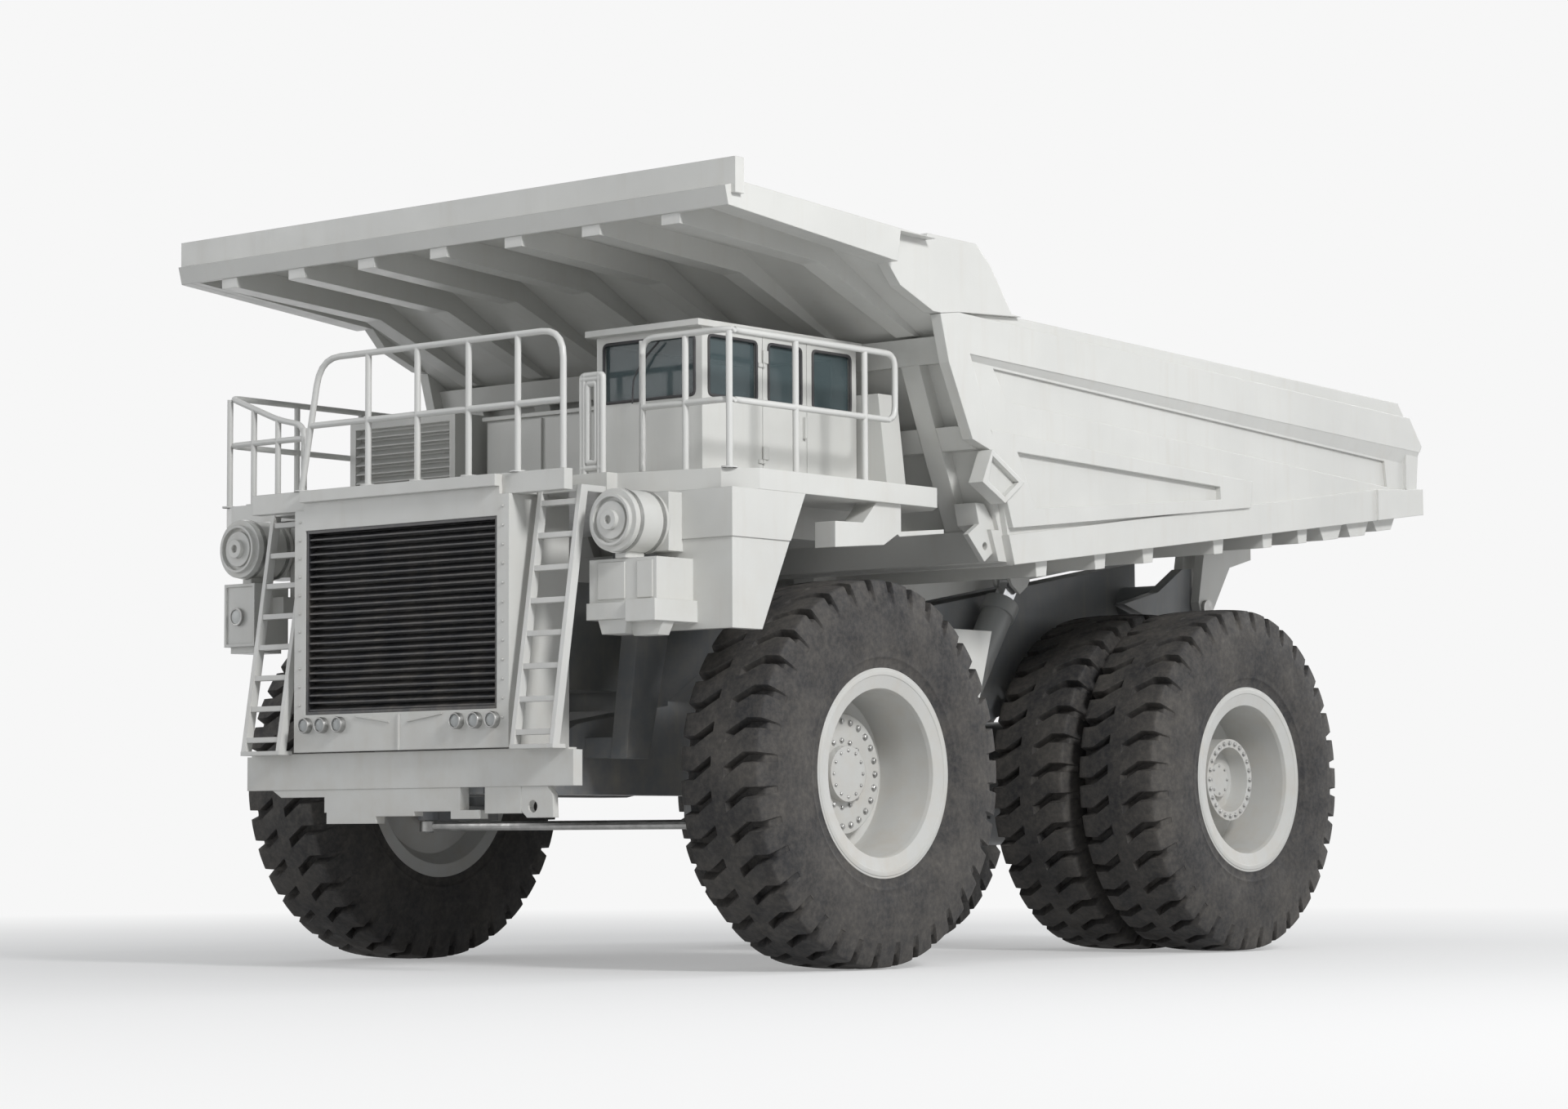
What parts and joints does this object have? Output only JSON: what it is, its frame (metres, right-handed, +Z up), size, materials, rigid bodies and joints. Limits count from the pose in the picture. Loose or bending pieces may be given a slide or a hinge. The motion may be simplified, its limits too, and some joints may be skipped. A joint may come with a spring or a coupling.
{
  "type": "mining dump truck",
  "caption": "Rigid off-road dump truck with a canopied dump body, glazed cab, railed deck, steered front wheels and twin rear wheels.",
  "frame": {"origin": "on the ground under the middle of the truck's overall length and width", "axes": "+Y to the tail, +X to the truck's left, +Z up"},
  "size_m": [7.28, 12.71, 7.17],
  "materials": {
    "white_paint": "gloss enamel, lightly dusty",
    "grey_paint": "satin enamel",
    "dark_frame": "satin enamel",
    "rail_white": "gloss enamel, chipped",
    "tyre_rubber": "matt rubber with dusty side walls",
    "rim_paint": "satin enamel",
    "steel": "worn steel",
    "chrome_rod": "ground and chromed",
    "grille_black": "matt black enamel",
    "glass": "lightly tinted",
    "lamp_glass": "clear lens",
    "seat_fabric": "woven",
    "plastic": "moulded",
    "engine_paint": "cast"
  },
  "bodies": {
    "chassis": {"air_cleaner_left": "white_paint", "air_cleaner_right": "white_paint", "cab_glass": "glass", "cab_shell": "white_paint", "control_cabinet": "white_paint", "deck": "white_paint", "deck_supports": "dark_frame", "driver_seat": "seat_fabric", "engine_block": "engine_paint", "fender_box_left": "white_paint", "fender_box_right": "white_paint", "front_bumper": "white_paint", "front_strut_left": "steel", "front_strut_right": "steel", "grille": "grille_black", "headlamps": "lamp_glass", "ladder_left": "rail_white", "ladder_right": "rail_white", "main_frame": "dark_frame", "pivot_pins": "steel", "radiator_housing": "white_paint", "railing_centre": "rail_white", "railing_left": "rail_white", "railing_right": "rail_white", "rear_axle": "dark_frame", "rear_strut_left": "steel", "rear_strut_right": "steel", "retarder_box": "white_paint", "steering_column": "plastic", "tank_left": "white_paint", "tank_right": "white_paint"},
    "dump_body": {"body_floor": "white_paint", "body_side_left": "white_paint", "body_side_right": "white_paint", "body_front_wall": "white_paint", "body_canopy": "white_paint"},
    "cab_door": {"cab_door": "white_paint", "door_glass": "glass"},
    "tie_rod": {"tie_rod": "steel"},
    "wheel_front_left": {"rim_front_left": "rim_paint", "tyre_front_left": "tyre_rubber"},
    "wheel_rear_left": {"rim_rear_left": "rim_paint", "tyres_rear_left": "tyre_rubber"},
    "knuckle_left": {"knuckle_left": "dark_frame"},
    "hoist_barrel_left": {"hoist_barrel_left": "grey_paint"},
    "hoist_rod_left": {"hoist_rod_left": "chrome_rod"},
    "wheel_front_right": {"rim_front_right": "rim_paint", "tyre_front_right": "tyre_rubber"},
    "wheel_rear_right": {"rim_rear_right": "rim_paint", "tyres_rear_right": "tyre_rubber"},
    "knuckle_right": {"knuckle_right": "dark_frame"},
    "hoist_barrel_right": {"hoist_barrel_right": "grey_paint"},
    "hoist_rod_right": {"hoist_rod_right": "chrome_rod"}
  },
  "joints": [
    {"name": "dump", "type": "hinge", "parent": "chassis", "child": "dump_body", "pos_m": [0, 4.615, 3.74], "axis": [-1, 0, 0], "range_deg": [0, 45]},
    {"name": "steer_left", "type": "hinge", "parent": "chassis", "child": "knuckle_left", "pos_m": [1.75, -3.315, 1.8], "axis": [0, 0, 1], "range_deg": [-32, 32]},
    {"name": "wheel_front_left", "type": "hinge", "parent": "knuckle_left", "child": "wheel_front_left", "pos_m": [2.87, -3.315, 1.8], "axis": [1, 0, 0], "continuous": true},
    {"name": "wheel_rear_left", "type": "hinge", "parent": "chassis", "child": "wheel_rear_left", "pos_m": [2.2, 3.035, 1.8], "axis": [1, 0, 0], "continuous": true},
    {"name": "hoist_swing_left", "type": "hinge", "parent": "chassis", "child": "hoist_barrel_left", "pos_m": [1.15, -0.015, 1.45], "axis": [1, 0, 0], "range_deg": [0, 3.58]},
    {"name": "hoist_stroke_left", "type": "slide", "parent": "hoist_barrel_left", "child": "hoist_rod_left", "axis": [0, 0.5654, 0.8248], "range_m": [0, 2.2452]},
    {"name": "steer_right", "type": "hinge", "parent": "chassis", "child": "knuckle_right", "pos_m": [-1.75, -3.315, 1.8], "axis": [0, 0, 1], "range_deg": [-32, 32]},
    {"name": "wheel_front_right", "type": "hinge", "parent": "knuckle_right", "child": "wheel_front_right", "pos_m": [-2.87, -3.315, 1.8], "axis": [1, 0, 0], "continuous": true},
    {"name": "wheel_rear_right", "type": "hinge", "parent": "chassis", "child": "wheel_rear_right", "pos_m": [-2.2, 3.035, 1.8], "axis": [1, 0, 0], "continuous": true},
    {"name": "hoist_swing_right", "type": "hinge", "parent": "chassis", "child": "hoist_barrel_right", "pos_m": [-1.15, -0.015, 1.45], "axis": [1, 0, 0], "range_deg": [0, 3.58]},
    {"name": "hoist_stroke_right", "type": "slide", "parent": "hoist_barrel_right", "child": "hoist_rod_right", "axis": [0, 0.5654, 0.8248], "range_m": [0, 2.2452]},
    {"name": "tie_rod", "type": "hinge", "parent": "knuckle_left", "child": "tie_rod", "pos_m": [1.75, -4.115, 1.34], "axis": [0, 0, -1], "range_deg": [-32, 32]},
    {"name": "cab_door", "type": "hinge", "parent": "chassis", "child": "cab_door", "pos_m": [2.466, -3.955, 5.2], "axis": [0, 0, -1], "range_deg": [0, 70]}
  ],
  "couplings": [
    {"joint": "hoist_swing_left", "follows": "dump", "ratio": 0.07811},
    {"joint": "hoist_stroke_left", "follows": "dump", "m_per_rad": 2.8444},
    {"joint": "hoist_swing_right", "follows": "dump", "ratio": 0.07811},
    {"joint": "hoist_stroke_right", "follows": "dump", "m_per_rad": 2.8444},
    {"joint": "steer_right", "follows": "steer_left", "ratio": 1},
    {"joint": "tie_rod", "follows": "steer_left", "ratio": 1}
  ]
}
